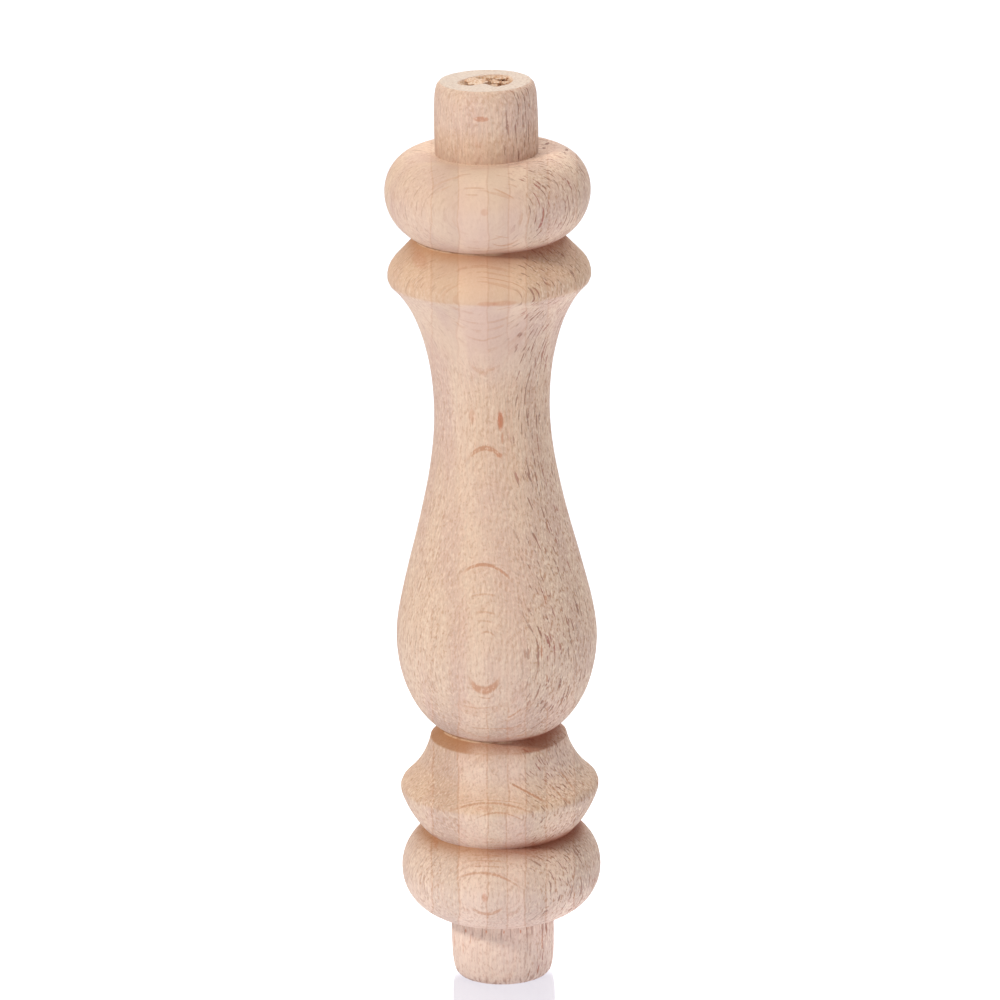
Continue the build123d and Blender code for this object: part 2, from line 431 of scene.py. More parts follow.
class Graph:
    """Adds shader nodes to one material, each by a short call that returns the node's output."""

    def __init__(self, material):
        material.use_nodes = True
        self.tree = material.node_tree
        self.shader = self.tree.nodes["Principled BSDF"]

    def node(self, kind, **settings):
        """A new node with these settings."""
        node = self.tree.nodes.new(kind)
        for name, value in settings.items():
            setattr(node, name, value)
        return node

    def feed(self, socket, value):
        """Links another node's output to the socket, or sets the socket to a plain value."""
        if isinstance(value, bpy.types.NodeSocket):
            self.tree.links.new(value, socket)
        else:
            socket.default_value = value

    def fed(self, kind, operation, values):
        """A new node of arithmetic, fed with these values."""
        node = self.node(kind, operation=operation)
        for socket, value in zip(node.inputs, values):
            self.feed(socket, value)
        return node

    def math(self, operation, *values):
        return self.fed("ShaderNodeMath", operation, values).outputs["Value"]

    def times(self, first, *others):
        product = first
        for value in others:
            product = self.math("MULTIPLY", product, value)
        return product

    def plus(self, a, b):
        return self.math("ADD", a, b)

    def minus(self, a, b):
        return self.math("SUBTRACT", a, b)

    def over(self, a, b):
        return self.math("DIVIDE", a, b)

    def most(self, a, b):
        return self.math("MAXIMUM", a, b)

    def size(self, value):
        return self.math("ABSOLUTE", value)

    def line(self, value, slope, start):
        """A straight line: the start, plus the slope times the value."""
        return self.math("MULTIPLY_ADD", value, slope, start)

    def scaled(self, vector, factors):
        return self.fed("ShaderNodeVectorMath", "MULTIPLY", (vector, factors)).outputs["Vector"]

    def length(self, vector):
        return self.fed("ShaderNodeVectorMath", "LENGTH", (vector,)).outputs["Value"]

    def distance(self, vector, point):
        return self.fed("ShaderNodeVectorMath", "DISTANCE", (vector, point)).outputs["Value"]

    def dimmed(self, vector, factor):
        node = self.fed("ShaderNodeVectorMath", "SCALE", (vector,))
        self.feed(node.inputs["Scale"], factor)
        return node.outputs["Vector"]

    def stored(self, name):
        return self.node("ShaderNodeAttribute", attribute_name=name).outputs["Fac"]

    def split(self, vector):
        node = self.node("ShaderNodeSeparateXYZ")
        self.feed(node.inputs[0], vector)
        return node.outputs

    def joined(self, x, y, z):
        node = self.node("ShaderNodeCombineXYZ")
        for socket, value in zip(node.inputs, (x, y, z)):
            self.feed(socket, value)
        return node.outputs[0]

    def noise(self, vector, detail=2.0, rough=0.5, swirl=0.0):
        node = self.node("ShaderNodeTexNoise")
        self.feed(node.inputs["Vector"], vector)
        node.inputs["Scale"].default_value = 1.0
        node.inputs["Detail"].default_value = detail
        node.inputs["Roughness"].default_value = rough
        node.inputs["Distortion"].default_value = swirl
        return node.outputs["Fac"]

    def step(self, value, low, high):
        """0 at low and 1 at high, eased between them."""
        node = self.node("ShaderNodeMapRange", interpolation_type="SMOOTHSTEP")
        self.feed(node.inputs["Value"], value)
        node.inputs["From Min"].default_value = low
        node.inputs["From Max"].default_value = high
        return node.outputs["Result"]

    def between(self, value, low, high, ease):
        """1 between low and high, and 0 beyond them, eased over this width."""
        return self.times(self.step(value, low, low + ease), self.step(value, high, high - ease))

    def near(self, value, middle, reach, core=0.4):
        """1 within the core of this reach of the middle, and 0 beyond the reach."""
        return self.step(self.size(self.minus(value, middle)), reach, reach * core)

    def mix(self, amount, a, b):
        node = self.node("ShaderNodeMix", data_type="RGBA")
        self.feed(node.inputs["Factor"], amount)
        self.feed(node.inputs["A"], a)
        self.feed(node.inputs["B"], b)
        return node.outputs["Result"]

    def shaded(self, base, tone, amount):
        """The base made lighter or darker by up to this amount, by a tone from 0 to 1."""
        swing = self.line(tone, 2.0, -1.0)
        return self.dimmed(base, self.line(swing, amount, 1.0))


def colour(red, green, blue):
    """A linear colour from 8-bit values as a screen shows them."""
    def linear(value):
        share = value / 255
        return share / 12.92 if share <= 0.04045 else ((share + 0.055) / 1.055) ** 2.4
    return (linear(red), linear(green), linear(blue), 1.0)


# Tones of raw beech
PALE = colour(223, 193, 171)
PINK = colour(215, 182, 165)
# Painted light: a paler tone laid over the foot and the lower cove
PALE_PAINTED_LIGHT = colour(226, 199, 184)
# Warm tone of end grain, partly painted warm light on faces that look up
END_GRAIN_AND_WARM_LIGHT = colour(216, 176, 142)
END_FACE = colour(213, 192, 176)
VESSEL = colour(150, 98, 82)
RED_VESSEL = colour(166, 86, 76)
SHEET = colour(196, 138, 106)
FLECK = colour(198, 128, 96)
NAP_DARK = colour(188, 138, 108)
NAP_PALE = colour(240, 216, 194)
# Painted shade for each groove, warm on the left and dark on the right, and a painted highlight for the burr
GROOVE_WARM_SHADE = colour(186, 128, 82)
GROOVE_SHADOW = colour(160, 90, 62)
BURR_HIGHLIGHT = colour(240, 212, 178)
TORN_PALE = colour(222, 192, 166)
TORN_STREAK = colour(202, 154, 118)
# Dark of torn fibres, partly painted shade in the torn end's depths
TORN_DARK_AND_SHADE = colour(168, 118, 86)

# Below, places are in millimetres. A pair is where something starts to show and where it shows in full, a
# band is its two ends and the width of its eased edge, and a grain is how often a noise repeats in a
# millimetre across the leg, through it and along it.

# Sides of the leg: by place along Y, by place along X, and by the share of the radius that lies aside
FRONT = (0.0, -1.0)
BACK = (-4.0, 1.0)
LEFT = (-3.0, -7.0)
RIGHT = (-3.0, 4.0)
FACING = (0.62, 0.3)
TURNED_AWAY = (0.12, 0.45)
LEAST_RADIUS = 0.5

# Ground tone, with painted light that makes the foot and the lower cove paler
GROUND_GRAIN = (0.35, 0.35, 0.07)
PINK_FROM = (0.35, 0.65)
FOOT_BELOW = (14.5, 12.5)
FOOT_PAINTED_LIGHT = 0.6
COVE = (18.0, 22.6, 1.6)
COVE_ACROSS = (-5.5, -2.0)
COVE_PAINTED_LIGHT = 0.5

# Warmth where the tool cut across the fibres, partly painted warm light on faces that look up, and painted
# shade under the belly
UPPER_SLOPE = (-0.05, 0.25)
SLOPE_WARMTH = 0.18
LOW_COLLAR = (16.9, 20.4, 0.8)
LOW_COLLAR_WARMTH = 0.26
TOP_COLLAR = (64.0, 68.8, 0.25)
TOP_COLLAR_SLOPE = (-0.55, -0.3)
TOP_COLLAR_WARMTH = 0.6
NECK = (45.0, 58.0, 3.0)
NECK_ACROSS = (-3.5, -1.0)
NECK_WARMTH = 0.3
TENON_ROOT = (75.4, 79.0, 1.5)
TENON_RADIUS = (4.8, 4.6)
TENON_WARMTH = 0.4
UNDER_BELLY = (22.6, 31.0, 2.0)
UNDER_SLOPE = (-0.3, -0.75)
UNDER_SHADE = 0.16
END_SLOPE = (0.9, 0.98)
END_ABOVE = (80.5, 81.5)

# Ray strips stand side by side across the leg: where each starts, and its tone
STRIPS = [(-9.0, 0.50), (-5.5, 0.36), (-3.2, 0.66), (-0.65, 0.48),
          (1.1, 0.62), (2.7, 0.42), (4.55, 0.62), (7.0, 0.38)]
STRIP_LEAN = 0.0208
STRIP_SWAY = 0.7
SWAY_GRAIN = (0.4, 0.0, 0.45)
STRIP_EDGE = 0.10
STRIP_SHIFT = 0.3

# Strips and lines show most where the turning cuts deep, beyond the slim middle of the leg
SLIM_MIDDLE = 44.0
DEEP_CUT = (12.0, 20.0)
DEEP_RADIUS = (4.8, 6.0)
LOW_STRIPS = (30.0, 26.0)
LOW_STRIP_GAIN = 0.6
STRIP_TONE = 0.06
STRIP_TONE_CUT = 0.12
STRIP_LINE = 0.10
STRIP_LINE_CUT = 0.32

# Growth sheets stand upright and face the front, turned a little to the left. Their depth is measured
# forwards from the axis, and they waver by a small warp.
SHEET_TURN = math.radians(5.0)
WARP_GRAIN = (0.25, 0.25, 0.08)
WARP = 0.12
LINE_GRAIN = (0.2, 4.6, 0.08)
LINE_FROM = (0.57, 0.62)
BREAK_GRAIN = (0.9, 0.9, 0.5)
BREAK_FROM = (0.40, 0.58)
LINES_BEHIND = (8.75, 8.5)
COVE_LINE_LOSS = 0.7
LINE_SHARE = 0.10
LINE_SHARE_FACING = 0.22
LINE_UNCUT = 0.4
PATCH_GRAIN = (0.45, 0.45, 0.3)
PATCH_FROM = (0.36, 0.58)

# Strong growth sheets on the front: depth and half thickness, strength, and the middle and reach of the
# window in which each shows, across and up the leg
ARCS = [
    (8.30, 0.05, 0.35, 1.2, 1.8, 69.9, 0.6),
    (7.90, 0.05, 0.45, 3.4, 0.9, 72.0, 1.2),
    (7.95, 0.04, 0.60, 1.2, 2.8, 65.8, 1.6),
    (6.60, 0.04, 0.45, 4.9, 1.2, 65.7, 1.2),
    (6.44, 0.05, 0.30, -0.3, 2.4, 60.5, 0.8),
    (5.54, 0.05, 0.25, -0.3, 2.0, 57.4, 0.8),
    (7.95, 0.04, 0.55, -0.6, 3.4, 18.5, 1.2),
]

# Strong growth sheets on the back: depth and half thickness, and strength
BACK_SHEETS = [
    (-2.40, 0.06, 0.35),
    (-4.10, 0.05, 0.40),
    (-5.60, 0.06, 0.45),
    (-7.20, 0.05, 0.50),
    (-8.50, 0.08, 0.50),
]

# Single strokes of the figure on the front: the middle across and up, half width, tilt, how far the ends
# bend down, half thickness and strength
STROKES = [
    (-1.10, 74.57, 1.0, 0.0, 0.08, 0.06, 0.40),
    (-1.35, 74.04, 0.6, 0.0, 0.0, 0.05, 0.35),
    (1.40, 74.15, 0.95, -0.50, 0.10, 0.06, 0.45),
    (1.15, 70.25, 0.6, -0.25, -0.05, 0.05, 0.40),
    (1.30, 69.27, 1.1, 0.0, -0.40, 0.06, 0.45),
    (-0.65, 50.35, 1.5, 0.0, 0.95, 0.20, 0.80),
    (-0.67, 40.30, 2.24, -0.17, 1.20, 0.13, 0.80),
    (-1.05, 37.82, 1.1, 0.05, 0.20, 0.08, 0.40),
    (-0.85, 36.30, 1.0, -0.10, 0.15, 0.09, 0.40),
    (-1.00, 35.55, 0.85, -0.10, 0.10, 0.08, 0.35),
    (-0.75, 34.60, 0.7, -0.20, 0.35, 0.08, 0.45),
    (-1.15, 29.25, 1.45, 0.05, -1.10, 0.36, 0.75),
    (-1.20, 28.50, 0.6, -0.15, -0.10, 0.06, 0.40),
    (-1.60, 27.45, 1.1, 0.05, -0.10, 0.06, 0.40),
    (1.40, 26.75, 0.65, 0.72, -0.10, 0.10, 0.70),
    (-0.60, 25.15, 1.9, 0.0, -0.10, 0.06, 0.50),
    (2.40, 19.25, 1.7, -0.54, 0.0, 0.08, 0.90),
    (5.30, 18.60, 1.15, -0.93, 0.0, 0.08, 0.70),
    (5.85, 19.50, 0.65, -1.25, 0.0, 0.09, 0.80),
    (-0.90, 18.64, 3.6, 0.0, 0.85, 0.07, 0.65),
    (-0.10, 17.94, 2.4, -0.06, 0.95, 0.07, 0.55),
    (-1.20, 13.40, 1.5, 0.0, 0.08, 0.05, 0.45),
    (-1.20, 13.05, 1.5, 0.0, 0.08, 0.05, 0.45),
    (-1.20, 12.65, 1.5, 0.0, 0.12, 0.06, 0.45),
    (-1.10, 12.10, 3.1, -0.13, 1.15, 0.09, 0.60),
    (-1.35, 8.36, 1.5, 0.04, -0.70, 0.16, 0.60),
]
STROKE_EASE = 1.5
STROKE_ENDS = (1.1, 0.6)

# Flecks on the front: place across and up the leg, half width, half height and strength
FLECKS = [
    (-0.4, 79.7, 0.80, 0.30, 0.65),
    (0.7, 52.8, 0.32, 1.1, 0.95),
    (-1.75, 53.2, 0.35, 0.8, 0.3),
    (-1.55, 10.0, 0.35, 0.5, 0.5),
    (-0.2, 64.4, 1.1, 0.3, 0.35),
    (-1.4, 18.2, 1.0, 0.3, 0.3),
    (-0.3, 72.6, 0.4, 0.4, 0.3),
    (4.35, 37.0, 0.14, 0.7, 0.6),
    (3.9, 32.5, 0.11, 0.8, 0.7),
    (4.33, 29.6, 0.08, 0.9, 0.7),
    (-0.68, 77.4, 0.5, 0.35, 0.2),
    (0.55, 49.7, 0.35, 0.25, 0.6),
    (-6.0, 67.2, 0.9, 0.7, 0.35),
    (1.2, 64.4, 1.4, 0.35, 0.35),
    (0.85, 51.2, 0.15, 0.6, 0.5),
    (-5.80, 13.8, 0.30, 0.7, 0.5),
    (-3.30, 4.85, 0.09, 0.25, 0.8),
    (-1.48, 5.15, 0.09, 0.22, 0.8),
    (0.09, 5.2, 0.09, 0.22, 0.8),
    (1.58, 5.1, 0.09, 0.22, 0.8),
    (-4.35, 3.3, 0.06, 0.8, 0.5),
    (-3.58, 3.2, 0.06, 0.8, 0.5),
    (-2.90, 4.2, 0.06, 0.6, 0.5),
    (3.47, 3.5, 0.08, 0.9, 0.7),
]
FLECK_EDGE = (1.0, 0.2)

# Vessels cut open along the sheets, mostly on the right and the back, and some of them red
VESSEL_GRAIN = (1.2, 7.5, 0.6)
VESSEL_DETAIL = 0.5
VESSEL_FROM = (0.62, 0.70)
VESSEL_SHARE = 0.12
VESSEL_SHARE_LEFT = 0.16
VESSEL_SHARE_RIGHT = 0.66
VESSEL_SHARE_BACK = 0.55
END_VESSEL_LOSS = 0.85
RED_GRAIN = (0.4, 0.4, 0.2)
RED_FROM = (0.5, 0.65)

# Fibres along the leg and the nap that sanding leaves, which the smooth upper beads hardly have. The nap is
# fine relief, drawn as the lit and the shaded sides of its bumps.
SMOOTH_ABOVE = (56.0, 60.0)
SMOOTH_RADIUS = (4.8, 5.6)
SMOOTHNESS = 0.75
SMOOTH_RIGHT = (1.5, 5.0)
SMOOTH_RIGHT_LOSS = 0.6
SMOOTH_LEFT_LOSS = 0.4
FIBRE_GRAIN = (6.0, 6.0, 0.5)
FIBRE_DETAIL = 2.0
FIBRE_ROUGHNESS = 0.6
FIBRE_FROM = (0.25, 0.75)
FIBRE_TONE = 0.06
NAP_GRAIN = (4.6, 6.0, 2.2)
NAP_DETAIL = 1.5
NAP_SWIRL = 0.8
LIT_SHIFT = (0.4, 0.0, -0.3)
SHADED_SHIFT = (-0.4, 0.0, 0.3)
NAP_PALE_FROM = (0.03, 0.28)
NAP_DARK_FROM = (-0.03, -0.28)
NAP_RIGHT = (1.0, 6.0)
NAP_SHARE = 0.85
NAP_SHARE_LEFT = 0.45
NAP_DARK_SHARE = 0.46
NAP_PALE_SHARE = 0.48

# Grooves: painted shade in their hollow corners, warm on the left and dark as painted shadow on the right,
# with painted shade on the wall at the waist
GROOVE_RADIUS = (4.75, 5.0)
GROOVE_BELOW = (74.0, 73.0)
GROOVE_DARK = (-4.5, 1.5)
GROOVE_FLOOR = (-0.1, 0.1)
GROOVE_ROOF = (-3.0, 2.0)
GROOVE_SHADE_SHARE = 0.65
LOW_GROOVE = (17.0, 16.0)
LOW_GROOVE_ACROSS = (0.0, 4.0)
LOW_GROOVE_SHADE_GAIN = 0.25
WALL_RADIUS = (6.2, 6.0)
WALL = (22.2, 23.6, 0.1)
WALL_LEFT = (-1.8, -3.2)
WALL_RIGHT = (1.0, 5.6, 1.8)
WALL_SHADE_SHARE = 0.6

# A thin pale burr of frayed fibres in each groove, shown on the lit left and middle as a painted highlight,
# and dark ticks where fibres end at the lower tenon's rims
FRAY_GRAIN = (0.9, 0.9, 0.9)
FRAY_FROM = (0.28, 0.55)
BURR_FROM = (0.925, 0.955)
BURR_SLOPE = (0.0, 0.2)
BURR_ACROSS = (-7.0, 1.5, 1.0)
BURR_ABOVE = (18.0, 20.0)
BURR_SHARE = 0.65
TICK_GRAIN = (3.5, 3.5, 0.4)
TICK_FROM = (0.56, 0.66)
TICK_CREVICE = (0.05, 0.4)
TICK_RIM = (1.0, 0.4)
TICK_BELOW = (8.0, 7.0)
TICK_SHARE = 0.5

# Small torn places on the top bead's shoulder: middle and half width
TEARS = [
    (4.95, 0.87, 75.65, 0.40),
    (5.29, 2.15, 75.76, 0.50),
    (6.78, -0.83, 75.55, 0.45),
    (6.95, 0.60, 75.50, 0.40),
]
TEAR_SQUEEZE = (1.3, 0.75, 1.0)
TEAR_GRAIN = (4.0, 3.0, 3.0)
TEAR_RAGGED = 3.0
TEAR_CORE = (2.25, 1.6)
TEAR_RIM = (2.7, 2.3)
TEAR_CORE_SHARE = 0.9
TEAR_RIM_SHARE = 0.35

# Torn end of the upper tenon, from pale fibres to its dark depths, which are partly painted shade
TORN_GRAIN = (5.0, 2.5, 2.5)
STREAK_FROM = (0.4, 0.65)
TORN_FROM = (0.0, 0.3)
TORN_SHADE_FROM = (0.5, 1.0)

# Finish
WOOD_ROUGHNESS = 0.7
WOOD_SHINE = 0.25
LINE_SUNK = 0.5
PORE_SUNK = 1.5
BUMP_STRENGTH = 0.5
BUMP_HEIGHT = 0.05 * MM


class Beech:
    """Raw sanded beech as one solid figure. Each method lays one feature of it over a base colour."""

    def __init__(self):
        self.material = bpy.data.materials.new("beech")
        graph = self.graph = Graph(self.material)
        place = graph.node("ShaderNodeTexCoord")
        self.where = graph.scaled(place.outputs["Object"], (1 / MM,) * 3)
        self.x, self.y, self.z = graph.split(self.where)
        self.slope = graph.split(place.outputs["Normal"])[2]
        squares = graph.plus(graph.times(self.x, self.x), graph.times(self.y, self.y))
        self.radius = graph.math("SQRT", squares)
        aside = graph.over(graph.size(self.x), graph.most(self.radius, LEAST_RADIUS))
        self.facing = graph.step(aside, *FACING)
        self.turned_away = graph.step(aside, *TURNED_AWAY)
        self.front = graph.step(self.y, *FRONT)
        self.left = graph.step(self.x, *LEFT)
        self.cove = graph.times(graph.between(self.z, *COVE), graph.step(self.x, *COVE_ACROSS))
        self.end_face = graph.times(graph.step(self.slope, *END_SLOPE), graph.step(self.z, *END_ABOVE))
        off_middle = graph.size(graph.minus(self.z, SLIM_MIDDLE))
        self.cut = graph.times(graph.step(off_middle, *DEEP_CUT), graph.step(self.radius, *DEEP_RADIUS))
        self.crevice = graph.stored("crevice")
        self.strip, self.strip_edge = self.strip_tone()
        self.depth = self.sheet_depth()

    def patches(self, grain, detail=2.0, rough=0.5):
        """Noise that repeats this often across the leg, through it and along it."""
        return self.graph.noise(self.graph.scaled(self.where, grain), detail, rough)

    def sheet_noise(self, grain, detail, shift=(0.0, 0.0, 0.0), swirl=0.0):
        """Noise that follows the growth sheets."""
        spot = [self.graph.line(value, often, start)
                for value, often, start in zip((self.x, self.depth, self.z), grain, shift)]
        return self.graph.noise(self.graph.joined(*spot), detail, swirl=swirl)

    def strip_tone(self):
        """The tone of the ray strip at each place, and how near it lies to the edge between two strips."""
        graph = self.graph
        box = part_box(LEG)
        low, high = (corner.x / MM for corner in box)
        middle_z = sum(corner.z / MM for corner in box) / 2
        lean = graph.times(graph.minus(self.z, middle_z), STRIP_LEAN)
        sway = self.patches(SWAY_GRAIN)
        lean = graph.plus(lean, graph.line(sway, STRIP_SWAY, -STRIP_SWAY / 2))
        share = graph.over(graph.minus(graph.minus(self.x, lean), low), high - low)
        stops = [(low, STRIPS[0][1], 0.0)]
        for (_, before), (start, tone) in zip(STRIPS, STRIPS[1:]):
            stops.append((start - STRIP_EDGE, before, 0.0))
            stops.append((start, (before + tone) / 2, 1.0))
            stops.append((start + STRIP_EDGE, tone, 0.0))
        ramp = graph.node("ShaderNodeValToRGB")
        graph.feed(ramp.inputs["Fac"], share)
        marks = ramp.color_ramp.elements
        while len(marks) < len(stops):
            marks.new(1.0)
        for mark, (start, tone, edge) in zip(marks, stops):
            mark.position = (start - low) / (high - low)
            mark.color = (tone, edge, 0.0, 1.0)
        tone, edge, _ = graph.split(ramp.outputs["Color"])
        return tone, edge

    def sheet_depth(self):
        """How far forward each place lies in the growth sheets, which shift from strip to strip."""
        graph = self.graph
        forward = graph.times(self.y, -math.cos(SHEET_TURN))
        sideways = graph.times(self.x, -math.sin(SHEET_TURN))
        warp = graph.line(self.patches(WARP_GRAIN), WARP, -WARP / 2)
        shift = graph.line(self.strip, STRIP_SHIFT, -STRIP_SHIFT / 2)
        return graph.plus(graph.plus(graph.plus(forward, sideways), warp), shift)

    def ground(self):
        """Ground tone, pale and pink by turns, with painted light that makes the foot and the lower cove
        paler.
        """
        graph = self.graph
        tone = self.patches(GROUND_GRAIN)
        base = graph.mix(graph.step(tone, *PINK_FROM), PALE, PINK)
        # Painted light: the foot and the lower cove are mixed towards a paler tone
        base = graph.mix(graph.times(graph.step(self.z, *FOOT_BELOW), FOOT_PAINTED_LIGHT), base, PALE_PAINTED_LIGHT)
        return graph.mix(graph.times(self.cove, COVE_PAINTED_LIGHT), base, PALE_PAINTED_LIGHT)

    def end_grain_and_painted_light(self, base):
        """Warmer upper slopes, collars and neck, partly end grain and partly painted warm light, painted
        shade on the belly's underside, and the pale end face.
        """
        graph = self.graph
        collar = graph.between(self.z, *LOW_COLLAR)
        warmth = graph.line(collar, LOW_COLLAR_WARMTH, graph.line(self.cove, -SLOPE_WARMTH, SLOPE_WARMTH))
        warmth = graph.times(warmth, graph.step(self.slope, *UPPER_SLOPE))
        collar = graph.times(graph.between(self.z, *TOP_COLLAR), graph.step(self.slope, *TOP_COLLAR_SLOPE))
        warmth = graph.most(warmth, graph.times(collar, TOP_COLLAR_WARMTH))
        neck = graph.times(graph.between(self.z, *NECK), graph.step(self.x, *NECK_ACROSS))
        warmth = graph.most(warmth, graph.times(neck, NECK_WARMTH))
        root = graph.times(graph.between(self.z, *TENON_ROOT), graph.step(self.radius, *TENON_RADIUS))
        warmth = graph.most(warmth, graph.times(root, TENON_WARMTH))
        # Partly painted warm light: upward faces, collars, neck and tenon root are mixed towards a warmer
        # tone
        base = graph.mix(warmth, base, END_GRAIN_AND_WARM_LIGHT)
        # Painted shade: the belly's underside is darkened
        under = graph.times(graph.step(self.slope, *UNDER_SLOPE), graph.between(self.z, *UNDER_BELLY))
        base = graph.dimmed(base, graph.line(under, -UNDER_SHADE, 1.0))
        return graph.mix(self.end_face, base, END_FACE)

    def ray_strips(self, base):
        """Lighter and darker strips, with a thin line between two of them."""
        graph = self.graph
        shown = graph.times(self.cut, graph.line(graph.step(self.z, *LOW_STRIPS), LOW_STRIP_GAIN, 1.0))
        base = graph.shaded(base, self.strip, graph.line(shown, STRIP_TONE_CUT, STRIP_TONE))
        edge = graph.times(self.strip_edge, graph.line(shown, STRIP_LINE_CUT, STRIP_LINE))
        return graph.mix(edge, base, SHEET)

    def growth_lines(self, base):
        """Fine broken lines of the growth sheets, and the strong ones."""
        graph = self.graph
        lines = graph.step(self.sheet_noise(LINE_GRAIN, 0.0), *LINE_FROM)
        lines = graph.times(lines, graph.step(self.patches(BREAK_GRAIN), *BREAK_FROM))
        lines = graph.times(lines, graph.step(self.depth, *LINES_BEHIND))
        self.lines = graph.times(lines, graph.line(self.cove, -COVE_LINE_LOSS, 1.0))
        share = graph.times(graph.line(self.facing, LINE_SHARE_FACING, LINE_SHARE),
                            graph.line(self.cut, 1.0 - LINE_UNCUT, LINE_UNCUT))
        base = graph.mix(graph.times(self.lines, share), base, SHEET)
        return graph.mix(self.strong_sheets(), base, SHEET)

    def strong_sheets(self):
        """How strongly a growth sheet shows: in its window on the front, and in patches on the back."""
        graph = self.graph
        front = 0.0
        for at, width, strength, middle_x, reach_x, middle_z, reach_z in ARCS:
            shown = graph.times(graph.near(self.depth, at, width), strength)
            shown = graph.times(shown, graph.near(self.x, middle_x, reach_x))
            shown = graph.times(shown, graph.near(self.z, middle_z, reach_z))
            front = graph.most(shown, front)
        behind = 0.0
        for at, width, strength in BACK_SHEETS:
            behind = graph.most(graph.times(graph.near(self.depth, at, width), strength), behind)
        patch = graph.times(graph.step(self.patches(PATCH_GRAIN), *PATCH_FROM), self.facing)
        return graph.plus(front, graph.times(behind, patch))

    def vessels(self, base):
        """Short dark dashes along the sheets."""
        graph = self.graph
        share = graph.line(self.left, VESSEL_SHARE_LEFT, VESSEL_SHARE)
        share = graph.line(graph.step(self.x, *RIGHT), VESSEL_SHARE_RIGHT, share)
        share = graph.most(share, graph.times(graph.step(self.y, *BACK), VESSEL_SHARE_BACK))
        share = graph.times(share, graph.line(self.end_face, -END_VESSEL_LOSS, 1.0))
        vessel = graph.step(self.sheet_noise(VESSEL_GRAIN, VESSEL_DETAIL), *VESSEL_FROM)
        self.vessel = graph.times(vessel, self.turned_away, share)
        redness = graph.step(self.patches(RED_GRAIN), *RED_FROM)
        return graph.mix(self.vessel, base, graph.mix(redness, VESSEL, RED_VESSEL))

    def flecks(self, base):
        """Round and long flecks on the front."""
        graph = self.graph
        for at_x, at_z, wide, tall, strength in FLECKS:
            off_x = graph.over(graph.minus(self.x, at_x), wide)
            off_z = graph.over(graph.minus(self.z, at_z), tall)
            off = graph.plus(graph.times(off_x, off_x), graph.times(off_z, off_z))
            near = graph.times(graph.step(off, *FLECK_EDGE), self.front)
            base = graph.mix(graph.times(near, strength), base, FLECK)
        return base

    def strokes(self, base):
        """Curved strokes of the figure on the front."""
        graph = self.graph
        total = 0.0
        for at_x, at_z, reach, tilt, bend, thick, strength in STROKES:
            along = graph.minus(self.x, at_x)
            share = graph.over(along, reach)
            line = graph.line(along, tilt, at_z)
            line = graph.line(graph.times(share, share), -bend, line)
            mark = graph.near(graph.minus(self.z, line), 0.0, STROKE_EASE * thick)
            mark = graph.times(mark, graph.step(graph.size(share), *STROKE_ENDS))
            total = graph.most(graph.times(mark, strength), total)
        return graph.mix(graph.times(total, self.front), base, SHEET)

    def nap(self, base):
        """Fibres along the leg, and the lit and the shaded sides of the nap."""
        graph = self.graph
        smooth = graph.times(graph.step(self.z, *SMOOTH_ABOVE), graph.step(self.radius, *SMOOTH_RADIUS))
        right = graph.step(self.x, *SMOOTH_RIGHT)
        smooth = graph.times(smooth, graph.line(right, -SMOOTH_RIGHT_LOSS, 1.0))
        smooth = graph.times(smooth, graph.line(self.left, -SMOOTH_LEFT_LOSS, 1.0))
        rough = graph.line(smooth, -SMOOTHNESS, 1.0)
        fibre = graph.step(self.patches(FIBRE_GRAIN, FIBRE_DETAIL, FIBRE_ROUGHNESS), *FIBRE_FROM)
        self.fibre = graph.times(fibre, rough)
        base = graph.shaded(base, fibre, graph.times(rough, FIBRE_TONE))
        nap = graph.minus(self.sheet_noise(NAP_GRAIN, NAP_DETAIL, LIT_SHIFT, NAP_SWIRL),
                          self.sheet_noise(NAP_GRAIN, NAP_DETAIL, SHADED_SHIFT, NAP_SWIRL))
        share = graph.plus(graph.step(self.x, *NAP_RIGHT), graph.line(self.left, NAP_SHARE_LEFT, NAP_SHARE))
        raised = graph.times(rough, share)
        dark = graph.times(graph.step(nap, *NAP_DARK_FROM), raised)
        pale = graph.times(graph.step(nap, *NAP_PALE_FROM), raised)
        base = graph.mix(graph.times(dark, NAP_DARK_SHARE), base, NAP_DARK)
        return graph.mix(graph.times(pale, NAP_PALE_SHARE), base, NAP_PALE)

    def groove_shade_and_burr(self, base):
        """Painted shade in hollow corners and on the wall of the waist groove, warm on the left and dark on
        the right, with a frayed burr at their edges painted pale as a highlight.
        """
        graph = self.graph
        body = graph.times(graph.step(self.radius, *GROOVE_RADIUS), graph.step(self.z, *GROOVE_BELOW))
        # Painted shade in the hollow corners, warm on the left and dark on the right
        groove = graph.times(self.crevice, body)
        tone = graph.mix(graph.step(self.x, *GROOVE_DARK), GROOVE_WARM_SHADE, GROOVE_SHADOW)
        side = graph.most(graph.step(self.slope, *GROOVE_FLOOR), graph.step(self.x, *GROOVE_ROOF))
        low_right = graph.times(graph.step(self.z, *LOW_GROOVE), graph.step(self.x, *LOW_GROOVE_ACROSS))
        share = graph.line(low_right, LOW_GROOVE_SHADE_GAIN, GROOVE_SHADE_SHARE)
        base = graph.mix(graph.times(groove, side, share), base, tone)
        # Painted shade on the wall of the waist groove
        wall = graph.times(graph.step(self.radius, *WALL_RADIUS), graph.between(self.z, *WALL))
        sides = graph.most(graph.step(self.x, *WALL_LEFT), graph.between(self.x, *WALL_RIGHT))
        base = graph.mix(graph.times(wall, sides, WALL_SHADE_SHARE), base, tone)
